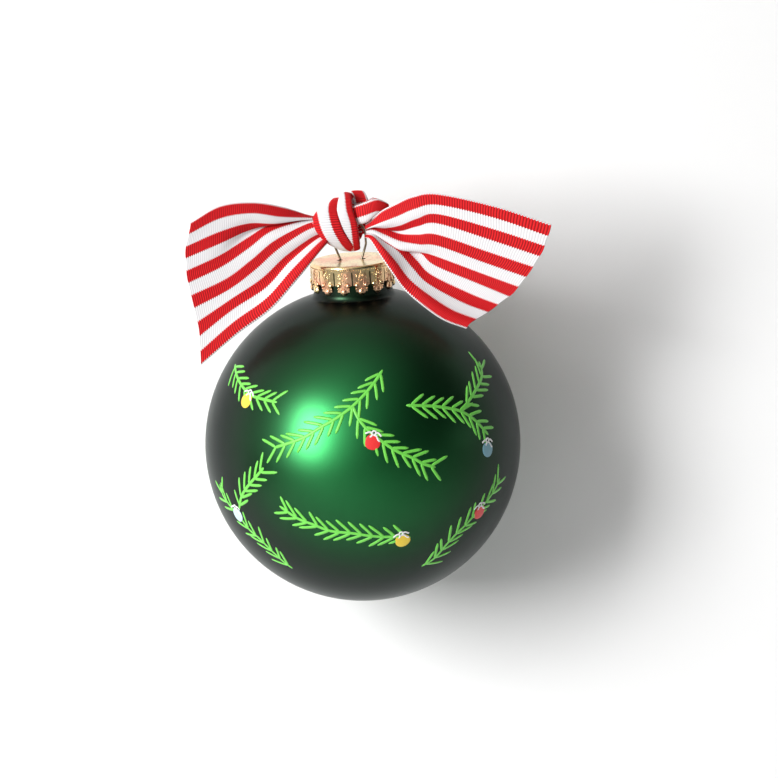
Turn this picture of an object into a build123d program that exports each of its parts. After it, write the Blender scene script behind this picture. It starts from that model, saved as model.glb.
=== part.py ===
from build123d import *
from math import atan, cos, radians, sin, sqrt, tan
import os

# A hanging glass ball ornament: a thin blown ball with a short neck, a pressed metal cap on the
# neck, a spring wire hanger through two holes in the cap, and a ribbon tied round the wire loop.
# Millimetres, +Z up. The origin is the roof of the hook gap: the underside of the ribbon's knot,
# midway between the two wires, where a hook bears. The front is -Y.

# ---- Driving dimensions ----------------------------------------------------------------------

# Ball
ball_radius = 50.0
ball_wall = 0.9
neck_radius = 12.35
neck_wall = 1.0
neck_rise = 8.9          # from the ball's crown to the neck's rim
shoulder_radius = 2.0    # hollow curve between the ball and its neck
rim_round = 0.3

# Cap
cap_sheet = 0.45
neck_clearance = 0.08    # radial, between the skirt and the neck
rim_clearance = 0.05     # between the cap's disc and the neck's rim
shoulder_clearance = 0.15
cap_edge_round = 0.8
panel_count = 14
slit_width = 0.4
slit_top = 1.8           # below the cap's top
bead_radius = 1.3
bead_stand = 0.95        # how far a bead stands out of the skirt's inner face
corner_bead_radius = 0.8
corner_bead_side = 1.45  # from the panel's middle
corner_bead_rise = 2.0   # above the middle of the large bead

# Wire hanger
wire_diameter = 0.7
loop_half_width = 4.9    # middle of the wire
crown_height = 12.6      # middle of the wire at the loop's top, above the cap
bulge_height = 4.6       # where the legs turn upright, above the cap
waist_half_width = 3.0
waist_drop = 0.5         # from the disc's underside to the corner of the waist
push_travel = 2.2        # how far the loop pushes down into the cap
hole_clearance = 0.1
leg_clearance = 0.5      # between a leg and the neck's bore
splay_depth = 11.0       # widest point of the legs, below the cap's top
leg_depth = 17.0
leg_tuck = 1.9           # how far the legs' ends turn back in
waist_bend = 0.9
bulge_bend = 2.5
splay_bend = 2.0

# Ribbon
hook_gap = 5.4           # from the cap's top to the knot's underside
ribbon_width = 38.0
tail_thickness = 1.0
knot_height = 16.2
knot_depth = 12.0
knot_left = 12.0
knot_wall = 1.0          # between the wire's slot and the knot's right side
knot_round = 3.5
ribbon_clearance = 0.4   # between the knot and the wire
tail_root_y = -3.0       # where the tails leave the knot
tail_front_y = -7.0      # where they pass in front of the cap
tail_sweep = 4.5         # over how much width they come forward
tail_tip_y = -12.0       # where their free ends are
tip_angle = 20.0         # how far the bow tips forward

# ---- Dependent sizes -------------------------------------------------------------------------

wire_radius = wire_diameter / 2
cap_top = -hook_gap
rim_height = cap_top - cap_sheet - rim_clearance
ball_centre = rim_height - neck_rise - ball_radius
bore_radius = neck_radius - neck_wall
skirt_inner = neck_radius + neck_clearance
skirt_outer = skirt_inner + cap_sheet

# The shoulder's arc is tangent to the ball and to the neck, so its middle is one ball radius and
# one arc radius from the ball's middle, and one arc radius outside the neck.
shoulder_x = neck_radius + shoulder_radius
shoulder_z = sqrt((ball_radius + shoulder_radius) ** 2 - shoulder_x**2)
cap_bottom = ball_centre + shoulder_z + shoulder_clearance
bead_height = cap_bottom + bead_radius
crown_z = cap_top + crown_height


def over_ball(angle_deg, height):
    """The point in the XZ plane at an angle from the top of the ball, and a height over it."""
    reach = ball_radius + height
    turn = radians(angle_deg)
    return (reach * sin(turn), ball_centre + reach * cos(turn))


# ---- Glass ball ------------------------------------------------------------------------------


def make_ball():
    """A hollow ball and its neck: one profile turned about the Z axis."""
    meet = ball_radius / (ball_radius + shoulder_radius)
    inner_radius = ball_radius - ball_wall
    inner_meet_z = sqrt(inner_radius**2 - bore_radius**2)
    arc_z = shoulder_z - shoulder_radius * sin(radians(45))
    arc_x = shoulder_x - shoulder_radius * cos(radians(45))
    rim = ball_radius + neck_rise

    bottom = (0, -ball_radius)
    side = (ball_radius, 0)
    ball_end = (shoulder_x * meet, shoulder_z * meet)
    neck_foot = (neck_radius, shoulder_z)
    bore_foot = (bore_radius, inner_meet_z)
    rim_outer = (neck_radius, rim)
    rim_inner = (bore_radius, rim)
    profile = (
        ThreePointArc(bottom, side, ball_end)
        + ThreePointArc(ball_end, (arc_x, arc_z), neck_foot)
        + Line(neck_foot, rim_outer)
        + Line(rim_outer, rim_inner)
        + Line(rim_inner, bore_foot)
        + ThreePointArc(bore_foot, (inner_radius, 0), (0, -inner_radius))
        + Line((0, -inner_radius), bottom)
    )
    ball = revolve(Plane.XZ * make_face(profile), Axis.Z)
    rim_edges = ball.edges().filter_by(GeomType.CIRCLE).group_by(Axis.Z)[-1]
    return Pos(0, 0, ball_centre) * fillet(rim_edges, rim_round)


# ---- Cap -------------------------------------------------------------------------------------

# The wire's leg leans outwards as it rises from its waist, which is just under the cap's disc. The
# disc's holes leave room for it over the whole push, so they are as wide as it leans, plus the
# wire and a clearance on each side.
waist_depth = cap_sheet + waist_drop
lean_slope = (loop_half_width - waist_half_width) / (bulge_height + waist_depth)
lean = atan(lean_slope)
splay_half_width = bore_radius - leg_clearance - wire_radius


def leg_x(height):
    """How far the leg's middle is from the Z axis, at a height over the cap's top."""
    return waist_half_width + lean_slope * (height + waist_depth)


hole_near = leg_x(-cap_sheet) - wire_radius / cos(lean) - hole_clearance
hole_far = leg_x(push_travel) + wire_radius / cos(lean) + hole_clearance
hole_x = (hole_near + hole_far) / 2
hole_radius = (hole_far - hole_near) / 2


def make_bead(radius, side, height):
    """A half-round bead that stands out of the skirt's inner face, on the panel facing +X."""
    return Pos(skirt_inner + bead_stand - radius, side, height) * Sphere(radius)


def make_cap():
    """The disc, its skirt cut into panels by narrow slits, and three beads on each panel."""
    height = cap_top - bead_height
    shell = Pos(0, 0, bead_height) * Cylinder(skirt_outer, height, align=(Align.CENTER, Align.CENTER, Align.MIN))
    shell = fillet(shell.edges().group_by(Axis.Z)[-1], cap_edge_round)

    step = 360 / panel_count
    corner_height = bead_height + corner_bead_rise
    beads = [
        make_bead(bead_radius, 0, bead_height),
        make_bead(corner_bead_radius, -corner_bead_side, corner_height),
        make_bead(corner_bead_radius, corner_bead_side, corner_height),
    ]
    for i in range(panel_count):
        turn = Rot(0, 0, i * step)
        for bead in beads:
            shell += turn * bead

    # Between the beads the skirt ends at its corner beads, in a straight edge cut up from below.
    web = 2 * (corner_bead_side + corner_bead_radius / 2)
    gap = 2 * skirt_outer * sin(radians(step / 2)) - web
    notch_height = corner_height - cap_bottom
    notch = Box(4 * bead_radius, gap, notch_height, align=(Align.CENTER, Align.CENTER, Align.MIN))
    slit = Box(
        4 * bead_radius,
        slit_width,
        cap_top - slit_top - cap_bottom,
        align=(Align.CENTER, Align.CENTER, Align.MIN),
    )
    for i in range(panel_count):
        turn = Rot(0, 0, (i + 0.5) * step)
        shell -= turn * Pos(skirt_outer, 0, cap_bottom) * notch
        shell -= turn * Pos(skirt_outer, 0, cap_bottom) * slit

    inside = Pos(0, 0, cap_bottom - bead_radius) * Cylinder(
        skirt_inner,
        cap_top - cap_sheet - cap_bottom + bead_radius,
        align=(Align.CENTER, Align.CENTER, Align.MIN),
    )
    shell -= inside
    for side in (-1, 1):
        shell -= Pos(side * hole_x, 0, cap_top) * Cylinder(hole_radius, 4 * cap_sheet)
    return shell


# ---- Wire hanger -----------------------------------------------------------------------------


def make_hanger():
    """One bent wire: two splayed spring legs, a waist at the cap, and a round-topped loop."""
    right = [
        (loop_half_width, crown_z),
        (loop_half_width, cap_top + bulge_height),
        (waist_half_width, cap_top - waist_depth),
        (splay_half_width, cap_top - splay_depth),
        (splay_half_width - leg_tuck, cap_top - leg_depth),
    ]
    left = [(-x, z) for x, z in reversed(right)]
    crown_bend = 0.99 * loop_half_width
    bends = [splay_bend, waist_bend, bulge_bend, crown_bend]
    route = [(x, 0, z) for x, z in left + right]
    path = FilletPolyline(*route, radius=bends + bends[::-1])
    return sweep(Plane(path @ 0, z_dir=path % 0) * Circle(wire_radius), path=path)


# ---- Ribbon ----------------------------------------------------------------------------------

swing_reach = crown_z * tan(radians(tip_angle))
swing_lift = loop_half_width * (1 - cos(radians(tip_angle)))
slot_front = wire_radius + ribbon_clearance
slot_back = swing_reach + (wire_radius + ribbon_clearance) / cos(radians(tip_angle))
slot_outer = loop_half_width + wire_radius + ribbon_clearance + swing_lift
slot_inner = loop_half_width - wire_radius - ribbon_clearance
knot_right = slot_outer + knot_wall


def arch(half_width):
    """A round-topped shape on the XZ plane, open to below the knot."""
    foot = -knot_height
    top = crown_z - loop_half_width
    straight = Pos(0, (top + foot) / 2) * Rectangle(2 * half_width, top - foot)
    return Plane.XZ * (straight + Pos(0, top) * Circle(half_width))


def make_knot_block():
    """The knot's outer shape: a block with soft edges."""
    width = knot_left + knot_right
    block = Pos((knot_right - knot_left) / 2, 0, knot_height / 2) * Box(width, knot_depth, knot_height)
    return fillet(block.edges(), knot_round)


def make_slot():
    """The room for the loop inside the knot while the bow tips forward on the loop's crown."""
    band = arch(slot_outer) - arch(slot_inner)
    behind = extrude(band, amount=slot_back, dir=(0, 1, 0))
    before = extrude(band, amount=slot_front, dir=(0, -1, 0))
    return behind + before


def make_tail(outline, side):
    """A thin sheet with a given outline seen from the front, which comes forward off the knot."""
    start = knot_left if side < 0 else knot_right
    tip = ball_radius + ribbon_width / 3
    half = tail_thickness / 2
    centre = [(0, tail_root_y), (start, tail_root_y), (start + tail_sweep, tail_front_y), (tip, tail_tip_y)]
    rim = [(side * x, y - half) for x, y in centre]
    rim += [(side * x, y + half) for x, y in reversed(centre)]
    plan = make_face(Polyline(*rim, close=True))
    band = Pos(0, 0, ball_centre) * extrude(plan, amount=2 * ball_radius, dir=(0, 0, 1))
    front = Plane.XZ * make_face(outline)
    slab = extrude(front, amount=knot_depth - tail_tip_y, dir=(0, -1, 0))
    return (slab & band) - make_knot_block()


def left_outline():
    """The left tail from the front: it droops from a crest to a long slanting cut."""
    cut_slant = 52.0
    low = over_ball(-60.0, 8.6)
    lean_out = radians(92.0)
    length = ribbon_width / sin(radians(cut_slant))
    high = (low[0] + length * cos(lean_out), low[1] + length * sin(lean_out))
    crest = ((high[0] - knot_left) / 2, knot_height - 1.0)
    root_top = (-knot_left / 2, 0.55 * knot_height)
    root_low = (-knot_left / 2, 0.25 * knot_height)
    turn_low = (-knot_left - 1.0, -0.1 * knot_height)
    belly = over_ball(-34.5, 10.5)
    bulge = ((low[0] + high[0]) / 2 - 2.5, (low[1] + high[1]) / 2 + 4.0)
    return (
        ThreePointArc(root_top, crest, high)
        + ThreePointArc(high, bulge, low)
        + ThreePointArc(low, belly, turn_low)
        + Line(turn_low, root_low)
        + Line(root_low, root_top)
    )


def right_outline():
    """The right tail from the front: it rises, then droops to a straight slanting cut."""
    cut_slant = 62.9
    low = over_ball(40.5, 2.0)
    lean_out = radians(48.5)
    length = ribbon_width / sin(radians(cut_slant))
    high = (low[0] + length * cos(lean_out), low[1] + length * sin(lean_out))
    crest = ((high[0] + knot_right) / 2 - 4.0, knot_height - 1.0)
    root_top = (knot_right / 2, 0.5 * knot_height)
    root_low = (knot_right / 2, 0.1 * knot_height)
    turn_low = (skirt_outer + 0.3, cap_top + push_travel)
    belly = over_ball(23.0, 3.8)
    return (
        ThreePointArc(root_top, crest, high)
        + Line(high, low)
        + Line(low, belly)
        + Line(belly, turn_low)
        + Line(turn_low, root_low)
        + Line(root_low, root_top)
    )


# ---- Build and write -------------------------------------------------------------------------

nodes = {
    "glass_ball": make_ball(),
    "ornament_cap": make_cap(),
    "wire_hanger": make_hanger(),
    "ribbon_knot": make_knot_block() - make_slot(),
    "ribbon_tail_left": make_tail(left_outline(), -1),
    "ribbon_tail_right": make_tail(right_outline(), 1),
}

os.makedirs("parts", exist_ok=True)
for name, shape in nodes.items():
    shape.label = name
    export_step(shape, f"parts/{name}.step")
    print(name, "solids", len(shape.solids()), "volume", round(shape.volume, 1))
print("hole at", round(hole_x, 3), "radius", round(hole_radius, 3), "ball centre", round(ball_centre, 2))
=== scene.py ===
"""Looks of a lacquered glass ball ornament: painted sprigs, a gold cap, a wire loop and a striped bow."""

import logging
import math
from collections.abc import Callable
from dataclasses import dataclass
from enum import Enum
from typing import Union

import bpy
import numpy as np
from mathutils import Matrix, Vector
from numpy.typing import ArrayLike

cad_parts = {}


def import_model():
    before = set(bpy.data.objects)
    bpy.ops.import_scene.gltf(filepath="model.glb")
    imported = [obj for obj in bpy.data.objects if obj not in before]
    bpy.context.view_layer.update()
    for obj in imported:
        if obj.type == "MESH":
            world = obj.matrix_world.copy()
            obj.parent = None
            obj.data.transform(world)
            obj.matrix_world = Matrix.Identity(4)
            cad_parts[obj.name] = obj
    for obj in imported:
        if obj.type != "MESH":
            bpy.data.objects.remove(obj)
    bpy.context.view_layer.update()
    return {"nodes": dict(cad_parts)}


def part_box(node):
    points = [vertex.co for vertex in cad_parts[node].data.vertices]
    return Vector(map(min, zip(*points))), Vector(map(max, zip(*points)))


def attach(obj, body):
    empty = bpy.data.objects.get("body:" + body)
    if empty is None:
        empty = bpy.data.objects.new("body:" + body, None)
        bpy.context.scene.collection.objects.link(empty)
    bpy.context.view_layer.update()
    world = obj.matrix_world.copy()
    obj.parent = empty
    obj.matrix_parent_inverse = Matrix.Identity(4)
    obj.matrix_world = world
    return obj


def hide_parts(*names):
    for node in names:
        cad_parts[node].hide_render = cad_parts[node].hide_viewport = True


MM = 0.001
CLOTH_MAP = "Cloth"
LOG = logging.getLogger("ornament")
Colour = tuple[float, float, float]
Point = tuple[float, float, float]
Shape = tuple[np.ndarray, list[np.ndarray]]
Socket = bpy.types.NodeSocket
Source = Union[Socket, Colour, float]


class Body(Enum):
    """The moving bodies that the new pieces ride on."""

    CAP = "cap"
    BALL = "ball"
    RIBBON = "ribbon"


class Slot(Enum):
    """Names of the record's material slots."""

    LACQUER = "ball_lacquer"
    GOLD = "cap_gold"
    CLOTH = "ribbon_cloth"


# ---------------------------------------------------------------- arrays


def smooth_through(knots: ArrayLike, values: ArrayLike, at: ArrayLike) -> np.ndarray:
    """A cubic Hermite curve through values at knots, its slopes the central differences.

    Args:
        knots: increasing places along the curve.
        values: one row for each knot, of any shape.
        at: the places to read.

    Returns:
        One row for each place.
    """
    knots, values, at = (np.asarray(x, float) for x in (knots, values, at))
    slopes = np.gradient(values, knots, axis=0)
    low = np.clip(np.searchsorted(knots, at, side="right") - 1, 0, len(knots) - 2)
    step = knots[low + 1] - knots[low]
    t = ((at - knots[low]) / step).reshape((-1,) + (1,) * (values.ndim - 1))
    step = step.reshape(t.shape)
    return (
        (1 + 2 * t) * (1 - t) ** 2 * values[low]
        + t * (1 - t) ** 2 * step * slopes[low]
        + t**2 * (3 - 2 * t) * values[low + 1]
        + t**2 * (t - 1) * step * slopes[low + 1]
    )


def unit(vectors: np.ndarray) -> np.ndarray:
    """Each vector divided by its length."""
    return vectors / np.maximum(np.linalg.norm(vectors, axis=-1, keepdims=True), 1e-12)


def grid_quads(rows: int, cols: int, ring_cols: bool = False) -> np.ndarray:
    """The four corners of each cell of a grid of points, in an order that faces rows x cols.

    Args:
        rows: points along the first way.
        cols: points along the second way.
        ring_cols: whether the last column joins the first.

    Returns:
        An array of corner numbers, four to a face.
    """
    i, j = np.meshgrid(np.arange(rows - 1), np.arange(cols if ring_cols else cols - 1), indexing="ij")
    k = (j + 1) % cols
    return np.stack([i * cols + j, (i + 1) * cols + j, (i + 1) * cols + k, i * cols + k], -1).reshape(-1, 4)


def build(
    name: str, points: np.ndarray, faces: list[np.ndarray], uv: np.ndarray | None = None
) -> bpy.types.Object:
    """A mesh object at the origin from points in millimetres.

    Args:
        name: the piece's name.
        points: the corners, in millimetres.
        faces: arrays of corner numbers, each of one face size.
        uv: the flat coordinates of each corner, or none.

    Returns:
        The object, smooth shaded.
    """
    mesh = bpy.data.meshes.new(name)
    points = np.asarray(points, float).reshape(-1, 3) * MM
    corners = np.concatenate([f.ravel() for f in faces])
    sizes = np.concatenate([np.full(len(f), f.shape[1]) for f in faces])
    mesh.vertices.add(len(points))
    mesh.vertices.foreach_set("co", points.astype(np.float32).ravel())
    mesh.loops.add(len(corners))
    mesh.loops.foreach_set("vertex_index", corners.astype(np.int32))
    mesh.polygons.add(len(sizes))
    mesh.polygons.foreach_set("loop_start", (np.cumsum(sizes) - sizes).astype(np.int32))
    mesh.polygons.foreach_set("use_smooth", np.ones(len(sizes), bool))
    mesh.update(calc_edges=True)
    if uv is not None:
        layer = mesh.uv_layers.new(name=CLOTH_MAP)
        flat = np.asarray(uv, float).reshape(-1, 2)[corners]
        layer.data.foreach_set("uv", flat.astype(np.float32).ravel())
    mesh.validate()
    thing = bpy.data.objects.new(name, mesh)
    bpy.context.scene.collection.objects.link(thing)
    return thing


def strokes(
    paths: np.ndarray, normals: np.ndarray, half_width: np.ndarray, half_height: np.ndarray, ring: int = 8
) -> Shape:
    """Closed worms along paths: each cross-section is an oval across the path and its surface normal.

    Each end closes to a point half a half-width beyond the path.

    Args:
        paths: points of each path, strokes x rows x 3.
        normals: the surface normal at each point.
        half_width: half the oval's width at each point.
        half_height: half the oval's height at each point.
        ring: corners round an oval.

    Returns:
        Points and lists of faces for build().
    """
    count, rows = paths.shape[:2]
    along = unit(np.gradient(paths, axis=1))
    side = unit(np.cross(along, normals))
    turn = np.linspace(0, 2 * np.pi, ring, endpoint=False)
    oval = (
        paths[:, :, None]
        + side[:, :, None] * (half_width[..., None] * np.cos(turn))[..., None]
        + normals[:, :, None] * (half_height[..., None] * np.sin(turn))[..., None]
    )
    before = paths[:, 0] - along[:, 0] * half_width[:, :1] * 0.5
    beyond = paths[:, -1] + along[:, -1] * half_width[:, -1:] * 0.5
    ends = np.stack([before, beyond], 1)
    each = rows * ring + 2
    points = np.concatenate([oval.reshape(count, -1, 3), ends], 1).reshape(-1, 3)
    here = np.arange(ring)
    after = (here + 1) % ring
    first = np.stack([np.full(ring, each - 2), here, after], -1)
    last = np.stack([np.full(ring, each - 1), (rows - 1) * ring + after, (rows - 1) * ring + here], -1)
    shift = (np.arange(count) * each)[:, None, None]
    quads = grid_quads(rows, ring, ring_cols=True)
    return points, [(part + shift).reshape(-1, part.shape[1]) for part in (quads, first, last)]


def joined(parts: list[Shape]) -> Shape:
    """Several shapes as one."""
    points, faces, base = [], [], 0
    for p, fs in parts:
        points.append(p)
        faces += [f + base for f in fs]
        base += len(p)
    return np.concatenate(points), faces


# ---------------------------------------------------------------- materials


class Nodes:
    """A material's node tree, built a node at a time."""

    def __init__(self, name: str) -> None:
        """Starts an empty material of that name."""
        self.material = bpy.data.materials.new(name)
        self.material.use_nodes = True
        self.tree = self.material.node_tree
        self.tree.nodes.clear()

    def add(self, kind: str, settings: dict[str, str] | None = None, **inputs: Source) -> bpy.types.Node:
        """Adds a node.

        Args:
            kind: the node's type name without the ShaderNode prefix.
            settings: properties of the node.
            inputs: values or output sockets for its inputs, by name with an underscore for a space, or as
                i0, i1 by number.

        Returns:
            The node.
        """
        node = self.tree.nodes.new("ShaderNode" + kind)
        for key, value in (settings or {}).items():
            setattr(node, key, value)
        for key, value in inputs.items():
            numbered = key[0] == "i" and key[1:].isdigit()
            socket = node.inputs[int(key[1:]) if numbered else key.replace("_", " ")]
            if isinstance(value, Socket):
                self.tree.links.new(value, socket)
            elif isinstance(value, tuple) and len(value) == 3 and socket.type == "RGBA":
                socket.default_value = (*value, 1.0)
            else:
                socket.default_value = value
        return node

    def math(self, operation: str, *values: Source) -> Socket:
        """A Math node's output."""
        inputs = {f"i{number}": value for number, value in enumerate(values)}
        return self.add("Math", {"operation": operation}, **inputs).outputs[0]

    def mix(self, share: Source, a: Source, b: Source) -> Socket:
        """Colour a going to colour b as share goes from 0 to 1."""
        node = self.tree.nodes.new("ShaderNodeMix")
        node.data_type = "RGBA"
        for index, value in ((0, share), (6, a), (7, b)):
            if isinstance(value, Socket):
                self.tree.links.new(value, node.inputs[index])
            else:
                node.inputs[index].default_value = value if index == 0 else (*value, 1.0)
        return node.outputs[2]

    def noise(self, place: Socket, scale: float, detail: float = 3.0, roughness: float = 0.5) -> Socket:
        """A noise texture's value at a place."""
        node = self.add("TexNoise", Vector=place, Scale=scale, Detail=detail, Roughness=roughness)
        return node.outputs["Fac"]

    def spread(
        self, value: Socket, span: tuple[float, float] = (0.0, 1.0), to: tuple[float, float] = (0.0, 1.0)
    ) -> Socket:
        """A value carried in a straight line from one range to another, and kept within it."""
        ends = {"From_Min": span[0], "From_Max": span[1], "To_Min": to[0], "To_Max": to[1]}
        return self.add("MapRange", Value=value, **ends).outputs[0]

    def object_place(self) -> Socket:
        """Object coordinates, in metres."""
        return self.add("TexCoord").outputs["Object"]

    def surface(self, shader: bpy.types.Node) -> bpy.types.Material:
        """Makes shader the material's surface, and returns the material."""
        out = self.add("OutputMaterial")
        self.tree.links.new(shader.outputs[0], out.inputs["Surface"])
        return self.material


@dataclass(frozen=True)
class SatinLacquer:
    """Dark green pearl lacquer: its flakes shine where they are seen square on, under a hazy matte coat."""

    shine: Colour = (0.020, 0.270, 0.070)
    shine_low: Colour = (0.018, 0.245, 0.063)
    edge: Colour = (0.0025, 0.0040, 0.0030)
    roughness: float = 0.345
    fall: float = 5.0
    coat: float = 0.36
    rim: Colour = (0.52, 0.55, 0.54)
    coat_roughness: float = 0.34
    cloud_scale: float = 60.0
    grain_scale: float = 2600.0
    drift: float = 0.02
    # painted shade: over these neck heights the lacquer's colour is darkened, standing in for the cap's
    # shadow
    neck_painted_shade_span: tuple[float, float] = (-0.0182, -0.0166)  # heights where the neck begins, in metres
    neck_painted_shade_level: float = 0.12

    def material(self) -> bpy.types.Material:
        """Flake shine is a power of how square on it is seen, drifts in clouds, and is cut down on the neck
        by painted shade standing in for the cap's shadow.
        """
        n = Nodes("satin_green_lacquer")
        place = n.object_place()
        cloud = n.noise(place, self.cloud_scale)
        fine = n.noise(place, self.grain_scale, 2.0)
        facing = n.math("SUBTRACT", 1.0, n.add("LayerWeight", Blend=0.5).outputs["Facing"])
        height = n.add("SeparateXYZ", Vector=place).outputs["Z"]
        # painted shade on the neck under the cap: the flake colour falls to a small share there
        neck_painted_shade = n.spread(height, self.neck_painted_shade_span, (1.0, self.neck_painted_shade_level))
        glow = n.math("MULTIPLY", n.math("POWER", facing, self.fall), neck_painted_shade)
        rough = n.spread(cloud, to=(self.roughness - self.drift, self.roughness + self.drift))
        bump = n.add("Bump", Height=fine, Strength=0.05, Distance=0.0001)
        shader = n.add(
            "BsdfPrincipled",
            Base_Color=n.mix(glow, self.edge, n.mix(cloud, self.shine_low, self.shine)),
            Metallic=1.0,
            Roughness=rough,
            Specular_Tint=self.rim,
            Coat_Weight=self.coat,
            Coat_Roughness=self.coat_roughness,
            Coat_IOR=1.5,
            Normal=bump.outputs[0],
        )
        return n.surface(shader)


@dataclass(frozen=True)
class Paint:
    """A brushed enamel paint of one colour."""

    name: str
    colour: Colour
    roughness: float = 0.42
    thinned: float = 0.82
    patch_scale: float = 420.0
    brush_scale: float = 1500.0
    brush_depth: float = 0.25

    def material(self) -> bpy.types.Material:
        """The colour thins a little in patches, and brush marks are raised on it."""
        n = Nodes(self.name)
        place = n.object_place()
        patch = n.noise(place, self.patch_scale)
        thin = tuple(c * self.thinned for c in self.colour)
        marks = n.noise(place, self.brush_scale)
        bump = n.add("Bump", Height=marks, Strength=self.brush_depth, Distance=0.0001)
        shader = n.add(
            "BsdfPrincipled",
            Base_Color=n.mix(patch, thin, self.colour),
            Roughness=self.roughness,
            Normal=bump.outputs[0],
        )
        return n.surface(shader)


@dataclass(frozen=True)
class GoldFoil:
    """Thin gilt sheet, yellow with coppery clouds and fine dark tarnish specks, crumpled."""

    yellow: Colour = (0.86, 0.69, 0.36)
    copper: Colour = (0.88, 0.50, 0.32)
    tarnish: Colour = (0.17, 0.13, 0.05)
    roughness: float = 0.20
    clouded_rougher: float = 0.12
    crumple: float = 0.14
    cloud_scale: float = 110.0
    speck_scale: float = 900.0
    dent_scales: tuple[float, float] = (520.0, 1700.0)

    def material(self) -> bpy.types.Material:
        """Copper shows in broad clouds, tarnish in fine specks, and two sizes of dents are raised on it."""
        n = Nodes("gilt_sheet")
        place = n.object_place()
        cloud = n.spread(n.noise(place, self.cloud_scale, 4.0), (0.42, 0.6))
        speck = n.spread(n.noise(place, self.speck_scale, 4.0, 0.6), (0.56, 0.72))
        colour = n.mix(n.math("MULTIPLY", speck, 0.75), n.mix(cloud, self.yellow, self.copper), self.tarnish)
        broad, fine = (n.noise(place, scale, 2.0) for scale in self.dent_scales)
        dents = n.math("ADD", broad, n.math("MULTIPLY", fine, 0.4))
        bump = n.add("Bump", Height=dents, Strength=self.crumple, Distance=0.0006)
        rough = n.spread(cloud, to=(self.roughness, self.roughness + self.clouded_rougher))
        shader = n.add(
            "BsdfPrincipled", Base_Color=colour, Metallic=1.0, Roughness=rough, Normal=bump.outputs[0]
        )
        return n.surface(shader)


@dataclass(frozen=True)
class DrawnWire:
    """Dull golden steel wire with drawing marks."""

    bright: Colour = (0.42, 0.37, 0.28)
    dull: Colour = (0.20, 0.17, 0.12)
    roughness: tuple[float, float] = (0.25, 0.45)
    patch_scale: float = 700.0

    def material(self) -> bpy.types.Material:
        """Bright and dull metal in patches."""
        n = Nodes("drawn_wire")
        patch = n.noise(n.object_place(), self.patch_scale, 4.0)
        rough = n.spread(patch, to=self.roughness)
        colour = n.mix(patch, self.dull, self.bright)
        return n.surface(n.add("BsdfPrincipled", Base_Color=colour, Metallic=1.0, Roughness=rough))


@dataclass(frozen=True)
class Grosgrain:
    """Ribbed ribbon cloth in lengthwise stripes, read from its own flat coordinates in ribbon widths."""

    red: Colour = (0.74, 0.012, 0.016)
    # painted shade: the darker red and darker white colours go between the raised ribs
    red_painted_rib_shade: Colour = (0.22, 0.002, 0.005)
    white: Colour = (0.82, 0.805, 0.815)
    white_painted_rib_shade: Colour = (0.66, 0.64, 0.66)
    bands: int = 11
    selvedge: float = 0.010
    width: float = 38.0
    rib_pitch: float = 0.68
    ragged: float = 0.05
    thread_scale: float = 38.0
    thread_depth: float = 0.18

    def material(self) -> bpy.types.Material:
        """A stripe is red where its place across, counted in bands, is even; rib valleys get painted shade, a
        darker colour.
        """
        n = Nodes("striped_grosgrain")
        place = n.add("UVMap", {"uv_map": CLOTH_MAP}).outputs[0]
        flat = n.add("SeparateXYZ", Vector=place)
        across, along = flat.outputs[0], flat.outputs[1]
        phase = n.math("MULTIPLY", along, 2 * math.pi * self.width / self.rib_pitch)
        wave = n.math("COSINE", phase)
        band = (1 - 2 * self.selvedge) / self.bands
        inside = n.math("DIVIDE", n.math("SUBTRACT", across, self.selvedge), band)
        shaken = n.math("ADD", inside, n.math("MULTIPLY", wave, self.ragged))
        above, below = n.math("GREATER_THAN", shaken, 0.0), n.math("LESS_THAN", shaken, float(self.bands))
        in_range = n.math("MULTIPLY", above, below)
        odd = n.math("GREATER_THAN", n.math("FRACT", n.math("MULTIPLY", shaken, 0.5)), 0.5)
        is_red = n.math("MULTIPLY", in_range, n.math("SUBTRACT", 1.0, odd))
        # painted shade: the colour darkens towards each rib's low point, where shade falls between the ribs
        valley = n.math("MULTIPLY", n.math("SUBTRACT", 1.0, wave), 0.5)
        deep = n.math("POWER", valley, 2.0)
        white = n.mix(deep, self.white, self.white_painted_rib_shade)
        red = n.mix(deep, self.red, self.red_painted_rib_shade)
        bands = {"wave_type": "BANDS", "bands_direction": "X"}
        thread = n.add("TexWave", bands, Vector=place, Scale=self.thread_scale, Distortion=0.5, Detail=1.0)
        bump = n.add("Bump", Height=thread.outputs["Fac"], Strength=self.thread_depth, Distance=0.00005)
        shader = n.add(
            "BsdfPrincipled",
            Base_Color=n.mix(is_red, white, red),
            Roughness=0.7,
            Specular_IOR_Level=0.2,
            Sheen_Weight=0.03,
            Sheen_Roughness=0.4,
            Normal=bump.outputs[0],
        )
        return n.surface(shader)


# ---------------------------------------------------------------- ball


@dataclass(frozen=True)
class Sprig:
    """A painted fir sprig: its stem's (longitude, latitude) on the ball in degrees, from root to tip.

    The first needles stand `first` millimetres from the root.
    """

    stem: tuple[tuple[float, float], ...]
    first: float = 1.5


@dataclass(frozen=True)
class Bauble:
    """A painted bauble at a (longitude, latitude), its paint's number, and its bow's turn, in degrees."""

    place: tuple[float, float]
    paint: int
    turn: float = 0.0


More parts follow.
